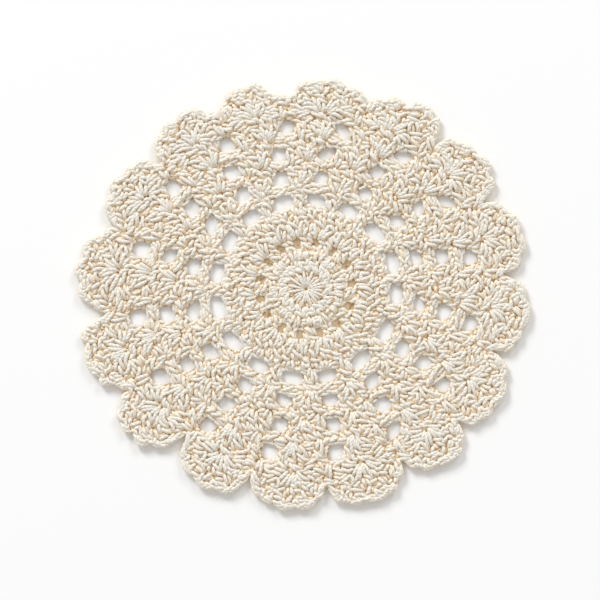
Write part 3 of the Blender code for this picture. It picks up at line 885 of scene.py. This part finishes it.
# %% Scallops
scallops = Strands("yarn_scallops")
drawn = marks("notch", fan_foot, CHARTED)
for i in range(len(REPEAT)):
    here = marks("notch", fan_foot, i)
    for level, *points in SCALLOP:
        plan = []
        for angle, distance in points:
            old = BASE * stretch(angle, BASE)
            share = (distance - old) / (edge(angle) - old)
            turned = float(np.interp(angle, drawn, here))
            new = BASE * stretch(turned, BASE)
            far = edge(turned)
            plan.append(spot(turned, min(new + share * (far - new), far - RIM_ROOM)))
        lay(scallops, level, plan)
print("strands laid:", len(laid))

# %% [markdown]
# The rim's own stitches are too small to chart. So along each bump runs one lying strand, with a
# row or two of short slanting stitches inside it. A second row slants the other way.

# %% Rows of slanting stitches
STITCH, STITCH_STEP = 1.7, 1.5  # a rim stitch's length and the room it takes
SLANT, SLANT_SPREAD = 24.0, 5  # degrees between a rim stitch and the rim
EDGE_LEVEL, ROW_LEVEL = 2, 3
DENSE = 60  # points along a row, to measure its length by
AHEAD = 0.4  # how far before and behind a stitch the row's direction is taken

edging = Strands("yarn_edging")


def inward(points, inset):
    """The points of a line along the rim, moved squarely into the mat."""
    points = np.array(points)
    along = np.gradient(points, axis=0)
    square = along[:, ::-1] * (1, -1)
    square /= np.linalg.norm(square, axis=1, keepdims=True)
    square *= -np.sign((square * points).sum(axis=1, keepdims=True))
    return points + square * inset


def slant_row(line, inset, slant):
    """A row of short stitches along a bump, each turned from the row's direction."""
    line = inward(line, inset)
    dense = curve_weights(len(line), np.linspace(0, 1, DENSE)) @ line
    run = np.concatenate(((0.0,), np.cumsum(np.linalg.norm(np.diff(dense, axis=0), axis=1))))
    count = max(1, int(run[-1] / STITCH_STEP))
    for at in (np.arange(count) + 0.5) * run[-1] / count:
        back, middle, ahead = [
            np.array([np.interp(place, run, dense[:, k]) for k in (0, 1)])
            for place in (at - AHEAD, at, at + AHEAD)
        ]
        turn = math.atan2(*(ahead - back)[::-1]) + math.radians(slant + chance.normal(0, SLANT_SPREAD))
        way = np.array((math.cos(turn), math.sin(turn))) * STITCH / 2
        lay(edging, ROW_LEVEL, [middle - way, middle, middle + way])


print("a rim stitch is", STITCH, "mm long and slants by", SLANT, "degrees")

# %% The rim
DOME = ((1.0, 0.0), (0.78, 0.4), (0.42, 0.84), (0.0, 1.0))  # a bump's side: share of width, of height
EDGE_INSET = YARN / 2
ROW_INSET = EDGE_INSET + 0.35
NEXT_ROW = YARN * 0.9
WIDE_BUMP = 2.5  # a bump wider than this, in degrees, has a second row

outline = []
for k in range(1, len(RIM), 2):
    (a, p), (m, top), (b, q) = RIM[k - 1], RIM[k], RIM[(k + 1) % len(RIM)]
    m, b = a + turn_from(a, m), a + turn_from(a, b)
    side_a = [spot(m + (a - m) * u, p + (top - p) * v) for u, v in DOME]
    side_b = [spot(m + (b - m) * u, q + (top - q) * v) for u, v in DOME]
    outline += side_a + side_b[2:0:-1]
    arc = side_b + side_a[2::-1]
    lay(edging, EDGE_LEVEL, inward(arc, EDGE_INSET))
    slant_row(arc[1:-1], ROW_INSET, SLANT)
    if b - a > WIDE_BUMP:
        slant_row(arc[1:-1], ROW_INSET + NEXT_ROW, -SLANT)
print("strands laid:", len(laid))

# %% [markdown]
# ## Filling
#
# Between the strands that a chart can show, deeper passes of the same yarn close the fabric. They
# can't be read from above, so they are grown. First the plan is cut into small cells, and the cells
# under a laid strand are crossed off. What is left, gaps apart, is bare.

# %% Cells and outlines
CELL = 0.25
HALF_SPAN = 84.0  # half the side of the square that the cells cover
GAP_POINTS = 12
TINY = 1e-12  # keeps a level side of an outline from dividing by nothing

cells = int(2 * HALF_SPAN / CELL)
middles = (np.arange(cells) + 0.5) * CELL - HALF_SPAN
cell_x, cell_y = np.meshgrid(middles, middles, indexing="ij")


def loop_points(gap, grow):
    """The outline of a gap as points of the plan."""
    angle, middle, tall, half, lean = gap
    points = []
    for i in range(GAP_POINTS):
        t = 2 * math.pi * (i + 0.5) / GAP_POINTS
        c, s = math.cos(t), math.sin(t)
        across = math.copysign(abs(c) ** (2 / GAP_SQUARENESS), c) * (half + math.degrees(grow / middle))
        up = math.copysign(abs(s) ** (2 / GAP_SQUARENESS), s) * (tall + grow)
        points.append(on_round(angle + across + lean * up, middle + up))
    return points


def inside(polygon, x, y):
    """Which of the cells with their middles at x and y lie inside a polygon."""
    found = np.zeros(x.shape, bool)
    for p, q in zip(polygon, polygon[1:] + polygon[:1]):
        crosses = (p[1] > y) != (q[1] > y)
        at = p[0] + (q[0] - p[0]) * (y - p[1]) / (q[1] - p[1] + TINY)
        found ^= crosses & (x < at)
    return found


def around(polygon):
    """The square of cells round a small polygon."""
    low = np.floor((np.min(polygon, axis=0) + HALF_SPAN) / CELL).astype(int) - 1
    high = np.ceil((np.max(polygon, axis=0) + HALF_SPAN) / CELL).astype(int) + 1
    return slice(low[0], high[0]), slice(low[1], high[1])


print("cells:", cells, "by", cells)

# %% The bare places
EDGE_ROOM = 1.0  # how far inside the rim the filling stays
FILL_ROOM = 0.55  # how far it stays from a gap
COVERED = 0.5  # how far beside its middle line a strand covers the cells
COVER_POINTS = 9


def cover(plan):
    """Marks the cells under a strand as no longer bare."""
    weights = curve_weights(len(plan), np.linspace(0, 1, COVER_POINTS))
    k = int(COVERED / CELL + 0.5)
    a, b = np.meshgrid(np.arange(-k, k + 1), np.arange(-k, k + 1), indexing="ij")
    near = (a * a + b * b) * CELL * CELL <= COVERED * COVERED
    for x, y in weights @ np.array(plan):
        i, j = int((x + HALF_SPAN) / CELL), int((y + HALF_SPAN) / CELL)
        bare[i - k:i + k + 1, j - k:j + k + 1] &= ~near


bare = inside(list(inward(outline, EDGE_ROOM)), cell_x, cell_y)
for gap in GAPS:
    loop = loop_points(gap, FILL_ROOM)
    where = around(loop)
    bare[where] &= ~inside(loop, cell_x[where], cell_y[where])
print("fabric area in square cm:", round(bare.sum() * CELL * CELL / 100, 1))
for plan in laid:
    cover(plan)
print("bare share:", round(float(bare.mean()), 4))

# %% [markdown]
# Now a short strand is thrown, like a dart, wherever cells are still bare. Strands in random
# directions would look like felt. So each grows along its nearest neighbour. The widest places are
# filled first, until only the gaps are left open.

# %% Neighbours
WAY_POINTS = 7
GROW_STEP, GROW_STEPS = 0.5, 5

laid_spots, laid_ways = [], []
for plan in laid:
    line = curve_weights(len(plan), np.linspace(0, 1, WAY_POINTS)) @ plan
    laid_spots.append(line[1:-1])
    laid_ways.append(line[2:] - line[:-2])
laid_spots = np.concatenate(laid_spots)
laid_ways = np.concatenate(laid_ways)
laid_ways /= np.linalg.norm(laid_ways, axis=1, keepdims=True)


def way_at(point):
    """The direction of the strand that lies nearest."""
    return laid_ways[np.argmin(((laid_spots - point) ** 2).sum(axis=1))]


def is_bare(point):
    """Whether a point of the plan is still bare."""
    return bare[int((point[0] + HALF_SPAN) / CELL), int((point[1] + HALF_SPAN) / CELL)]


def grow(point, way):
    """Follows the neighbours' direction from a point while the cells are bare."""
    line = [point]
    for _ in range(GROW_STEPS):
        turned = way_at(line[-1])
        way = turned if turned @ way > 0 else -turned
        line.append(line[-1] + way * GROW_STEP)
        if len(line) > 2 and not is_bare(line[-1]):
            break
    return line


print("places that give a direction:", len(laid_spots))

# %% Darts
THROWS = [(0.5, 2), (0.25, 1), (0.0, 0)]  # the bare room that a strand needs round it, and its level

filling = Strands("yarn_filling", COARSE)


def throw(clearance, level):
    """Lays a strand along its neighbours at every bare spot with that much room round it."""
    spots = np.argwhere(bare)
    chance.shuffle(spots)
    k = int(clearance / CELL + 0.5)
    thrown = 0
    for i, j in spots:
        if not bare[i - k:i + k + 1, j - k:j + k + 1].all():
            continue
        point = np.array((middles[i], middles[j]))
        way = way_at(point)
        line = grow(point, -way)[::-1] + grow(point, way)[1:]
        plan = [clear_of_gaps(p, GAP_ROOM[1]) for p in (line[0], line[len(line) // 2], line[-1])]
        size = GIRTH[level] * chance.uniform(*SIZES)
        crest = CREST[level] + chance.normal(0, HEIGHT_NUDGE)
        filling.add(plan, crest, DIVE, size, SQUASH * thinner(point))
        cover(plan)
        thrown += 1
    return thrown


for clearance, level in THROWS:
    print("thrown at level", level, ":", throw(clearance, level))

# %% [markdown]
# ## The ground under the strands
#
# Small chinks are left where strands cross. Looking into real crochet, one meets shaded yarn there,
# never the bright table. A thin sheet inside the fabric does that job, and its tan colour is painted
# shade. It is a flat 2D curve, because Blender fills such a curve and cuts its holes by itself. The
# small holes round the rosette aren't cut, since on the real mat they show a tan shade.

# %% Ground
GROUND_HALF = 0.2  # half its thickness
GROUND_HEIGHT = 0.95
GROUND_INSET = 1.3  # how far inside the rim it ends
GROUND_GAP_ROOM = 0.2  # how far it ends from a gap
MERGE_METRES = 0.00001

curve = bpy.data.curves.new("ground_fabric", "CURVE")
curve.dimensions = "2D"
curve.fill_mode = "BOTH"
curve.extrude = GROUND_HALF * MM


def add_loop(points):
    """One closed line of the ground's outline or of a hole in it."""
    spline = curve.splines.new("POLY")
    spline.points.add(len(points) - 1)
    for point, (x, y) in zip(spline.points, points):
        point.co = (x * MM, y * MM, 0, 1)
    spline.use_cyclic_u = True


add_loop([p * (1 - GROUND_INSET / np.linalg.norm(p)) for p in outline])
for gap in GAPS[:-len(SMALL_HOLES)]:
    add_loop(loop_points(gap, GROUND_GAP_ROOM))
ground = bpy.data.objects.new("ground_fabric", curve)
bpy.context.scene.collection.objects.link(ground)
print("lines of the ground, its outline and its holes:", len(curve.splines))

# %% Ground as a mesh
bpy.ops.object.select_all(action="DESELECT")
ground.select_set(True)
bpy.context.view_layer.objects.active = ground
bpy.ops.object.convert(target="MESH")
ground = bpy.context.object
bpy.ops.object.mode_set(mode="EDIT")
bpy.ops.mesh.select_all(action="SELECT")
bpy.ops.mesh.remove_doubles(threshold=MERGE_METRES)
bpy.ops.mesh.normals_make_consistent(inside=False)
bpy.ops.object.mode_set(mode="OBJECT")
for v in ground.data.vertices:
    v.co.z += GROUND_HEIGHT * MM
print("ground triangles:", sum(len(p.vertices) - 2 for p in ground.data.polygons))

# %% [markdown]
# ## From strands to meshes
#
# Each round becomes one piece, so that it can be found and looked at by its name. The filling and
# the underside hold thousands of strands, so theirs are dealt out by turns to smaller meshes.

# %% Meshes of the yarn
PARTS = {filling: 2, underside: 3}

pieces = [bag.build() for bag in [leaves, band, *openwork, scallops, edging]]
for bag, parts in PARTS.items():
    for k in range(parts):
        part = Strands(f"{bag.name}_{k + 1}", bag.form)
        for strand in bag.strands()[k::parts]:
            part.add(*strand)
        pieces.append(part.build())
print("pieces of yarn:", len(pieces))

# %% [markdown]
# ## Cotton
#
# Undyed cotton is cream where light falls on it and goes through tan to brown between the strands,
# because each bounce of light in the fabric takes some blue away. A plain surface lets no light
# through, so it misses much of that. So here light and shade are painted into the colour, which
# follows two things that the mesh knows: how high a point lies, for painted shade in the deep
# places, and how flat its surface lies, for painted light on what faces up. A faint warm glow in the
# deep places is painted light too, and stands in for light that soaks through. The yarn's three
# threads are a wave along its UV map, for a bump and a faint painted shade in the grooves.


# %% Shader maths
class Value:
    """A socket of a material's node tree, so that node maths reads like Python maths."""

    def __init__(self, tree, socket):
        self.tree, self.socket = tree, socket

    def node(self, kind, settings=None, inputs=None, output=0):
        """Adds a node, sets it up, joins or fills its inputs, and gives one of its outputs."""
        made = self.tree.nodes.new(kind)
        for key, value in (settings or {}).items():
            setattr(made, key, value)
        for key, value in (inputs or {}).items():
            if isinstance(value, Value):
                self.tree.links.new(value.socket, made.inputs[key])
            else:
                made.inputs[key].default_value = value
        return Value(self.tree, made.outputs[output])

    def feed(self, shader, name):
        """Joins this value to an input of the shader."""
        self.tree.links.new(self.socket, shader.inputs[name])

    def math(self, operation, first, second=0.0):
        """A Math node."""
        return self.node("ShaderNodeMath", {"operation": operation}, {0: first, 1: second})

    def __add__(self, other):
        return self.math("ADD", self, other)

    def __radd__(self, other):
        return self.math("ADD", other, self)

    def __sub__(self, other):
        return self.math("SUBTRACT", self, other)

    def __rsub__(self, other):
        return self.math("SUBTRACT", other, self)

    def __mul__(self, other):
        return self.math("MULTIPLY", self, other)

    def __rmul__(self, other):
        return self.math("MULTIPLY", other, self)


# %% Materials from a few parts
def new_material(name):
    """A material with its shader and a Value to start maths from."""
    material = bpy.data.materials.new(name)
    material.use_nodes = True
    tree = material.node_tree
    return material, tree.nodes["Principled BSDF"], Value(tree, None)


def blend(start, share, low, high):
    """A colour between two others."""
    return start.node("ShaderNodeMix", {"data_type": "RGBA"}, {0: share, 6: low, 7: high}, output=2)


def share_between(start, value, low, high):
    """How far a value has come from low to high, from 0 to 1."""
    return start.node("ShaderNodeMapRange", inputs={"Value": value, "From Min": low, "From Max": high})


def cloud_at(start, scale, detail):
    """Soft random spots, by their place on the mat."""
    place = start.node("ShaderNodeTexCoord", output="Object")
    return start.node("ShaderNodeTexNoise", inputs={"Vector": place, "Scale": scale, "Detail": detail})


print("materials so far:", len(bpy.data.materials))

# %% The yarn's material
# lit and shaded copies of the cotton: painted light on tops, painted half shade on sides, painted deep
# shade low down
LIT_CREAM = (0.785, 0.742, 0.667, 1.0)
HALF_SHADE_TAN = (0.88, 0.768, 0.60, 1.0)
DEEP_SHADE_BROWN = (0.42, 0.235, 0.095, 1.0)
SOAKED = (1.0, 0.70, 0.39, 1.0)  # the colour of a painted glow, for light that has soaked through the cotton
BLACK = (0.0, 0.0, 0.0, 1.0)
# the strength of the painted glow
GLOW = 0.08
LIFT_SHARE, TILT_SHARE = 0.62, 0.5  # how much height and a flat-lying surface add to the painted light
# random tone from the cloud, and a faint painted shade along the threads' grooves
CLOUD_SHARE, PLY_SHARE = 0.25, 0.035
CLOUD_SCALE, CLOUD_DETAIL = 160.0, 2.0
DEEP_SHADE_TO_HALF_SHADE, HALF_SHADE_TO_LIT = (0.0, 0.56), (0.6, 1.02)
PLIES, LAY = 3, 3.6  # threads in the yarn, and the length of one turn of them
THREAD_STRENGTH, THREAD_DEPTH = 0.4, 0.00016  # of the threads' bump, the depth in metres

yarn, shader, start = new_material("undyed_cotton")
# painted shade by depth in the fabric, and painted light round gaps
lift = start.node("ShaderNodeAttribute", {"attribute_name": "painted_shade_height"}, output="Fac")
facing = start.node("ShaderNodeNewGeometry", output="Normal")
tilt = start.math("ABSOLUTE", start.node("ShaderNodeSeparateXYZ", inputs={0: facing}, output="Z"))
around_yarn = start.node("ShaderNodeUVMap", {"uv_map": "yarn"})
u = start.node("ShaderNodeSeparateXYZ", inputs={0: around_yarn}, output="X")
v = start.node("ShaderNodeSeparateXYZ", inputs={0: around_yarn}, output="Y")
ply = start.math("SINE", (u * PLIES + v * (PLIES / LAY)) * (2 * math.pi))
cloud = (cloud_at(start, CLOUD_SCALE, CLOUD_DETAIL) - 0.5) * CLOUD_SHARE
# the painted light and shade: deep shade, half shade and lit cream, by height and by how flat the
# surface lies
painted_light_and_tone = lift * LIFT_SHARE + tilt * TILT_SHARE + cloud + ply * PLY_SHARE
lit_share = share_between(start, painted_light_and_tone, *HALF_SHADE_TO_LIT)
shade_tone = blend(start, share_between(start, painted_light_and_tone, *DEEP_SHADE_TO_HALF_SHADE), DEEP_SHADE_BROWN, HALF_SHADE_TAN)
blend(start, lit_share, shade_tone, LIT_CREAM).feed(shader, "Base Color")
# painted glow: the shaded places glow faintly warm
blend(start, lit_share, SOAKED, BLACK).feed(shader, "Emission Color")
shader.inputs["Emission Strength"].default_value = GLOW
threads = {"Strength": THREAD_STRENGTH, "Distance": THREAD_DEPTH, "Height": ply}
start.node("ShaderNodeBump", inputs=threads).feed(shader, "Normal")
shader.inputs["Roughness"].default_value = 0.5
shader.inputs["Specular IOR Level"].default_value = 0.5
shader.inputs["Sheen Weight"].default_value = 0.1
print("nodes of the yarn:", len(yarn.node_tree.nodes))

# %% [markdown]
# The ground is the same cotton in painted shade: tan, with darker spots of painted deeper shade placed
# at random, and a faint painted glow.

# %% The ground's material
# painted shade: the cotton's tan in the shade, and darker for the spots
SHADED, DEEPEST_SHADE = (0.47, 0.36, 0.23, 1.0), (0.28, 0.16, 0.07, 1.0)
GROUND_GLOW = GLOW * 0.8
SPOTS = (0.54, 0.66)
SPOT_SCALE, SPOT_DETAIL = 700.0, 1.0

shade, shader, start = new_material("shaded_cotton")
# darker random spots of painted deeper shade
dark = share_between(start, cloud_at(start, SPOT_SCALE, SPOT_DETAIL), *SPOTS)
blend(start, dark, SHADED, DEEPEST_SHADE).feed(shader, "Base Color")
# painted glow on the ground, as on the yarn
shader.inputs["Emission Color"].default_value = SOAKED
shader.inputs["Emission Strength"].default_value = GROUND_GLOW
shader.inputs["Roughness"].default_value = 0.9
for piece in pieces:
    piece.data.materials.append(yarn)
ground.data.materials.append(shade)
print("nodes of the ground:", len(shade.node_tree.nodes))

# %% [markdown]
# ## Riding on the solid
#
# The mat has no joints, so every piece rides its one body and stands for its one solid.

for piece in pieces + [ground]:
    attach(piece, "root")
    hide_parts("crochet_mat")
print("pieces riding:", len(pieces) + 1)

# %% [markdown]
# ## The stage
#
# The mat lies on a plain white table. A bare plane is enough for that. It is wide, so that its own
# edge is never in the picture, and it is declared as a stage, because it isn't part of the object.

# %% Floor
FLOOR_WHITE = (0.9, 0.9, 0.9, 1)
FLOOR_SIZE = 3.0  # in metres

bpy.ops.mesh.primitive_plane_add(size=FLOOR_SIZE, location=(0, 0, 0))
floor = bpy.context.object
floor.name = "floor"
white, shader, _ = new_material("floor_white")
shader.inputs["Base Color"].default_value = FLOOR_WHITE
shader.inputs["Roughness"].default_value = 0.9
shader.inputs["Specular IOR Level"].default_value = 0.1
floor.data.materials.append(white)
floor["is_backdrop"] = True
print("floor across in m:", floor.dimensions.x)

# %% [markdown]
# Daylight from all sides fills the shadows. The key lamp stands beyond the top left. A weaker one
# beyond the top right throws the shadow at the lower left, which one lamp alone left too faint. A
# wide lamp gives a shadow a soft edge, and a low one makes that of a thin mat long enough to see.

# %% Light
SKY, SKY_STRENGTH = (1.0, 0.99, 0.965, 1.0), 0.62
LAMPS = (("key", 226.0, (-2.53, 4.15, 3.25)), ("second", 80.0, (2.3, 4.3, 3.25)))  # watts and place
LAMP_SIZE, LAMP_COLOUR = 1.9, (0.955, 0.975, 1.0)

world = bpy.data.worlds.new("studio")
bpy.context.scene.world = world
world.use_nodes = True
world.node_tree.nodes["Background"].inputs["Color"].default_value = SKY
world.node_tree.nodes["Background"].inputs["Strength"].default_value = SKY_STRENGTH
for name, watts, place in LAMPS:
    lamp = bpy.data.lights.new(name, "AREA")
    lamp.energy = watts
    lamp.size = LAMP_SIZE
    lamp.color = LAMP_COLOUR
    holder = bpy.data.objects.new(name, lamp)
    bpy.context.scene.collection.objects.link(holder)
    holder.location = place
    holder.rotation_mode = "QUATERNION"
    holder.rotation_quaternion = (-Vector(place)).to_track_quat("-Z", "Y")
print("lamps:", len(LAMPS))

# %% [markdown]
# The camera looks straight down on the mat. Its lens follows from its distance and from how much of
# the table it should see, so that either can be changed without a guess. The Standard view keeps
# the cotton's colours as they are set, where a film look would bend them.

# %% Camera
DISTANCE = 1.2
FIELD = 0.2  # the width of the picture at the mat
ASIDE = (-0.002, -0.00367)  # the picture's middle, from the middle of the rosette

camera_data = bpy.data.cameras.new("camera")
camera_data.sensor_width = 36.0
camera_data.lens = camera_data.sensor_width * DISTANCE / FIELD
camera = bpy.data.objects.new("camera", camera_data)
bpy.context.scene.collection.objects.link(camera)
camera.location = (*ASIDE, DISTANCE)
bpy.context.scene.camera = camera
bpy.context.scene.view_settings.view_transform = "Standard"
bpy.context.scene.view_settings.look = "None"
print("lens in mm:", camera_data.lens)

# %% [markdown]
# ## Measuring the result
#
# Yarn with a body of its own can stray from the solid that it stands for.

# %% Finish
low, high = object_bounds()
print("visual box in mm:", [round(v * 1000, 1) for v in (*low, *high)])
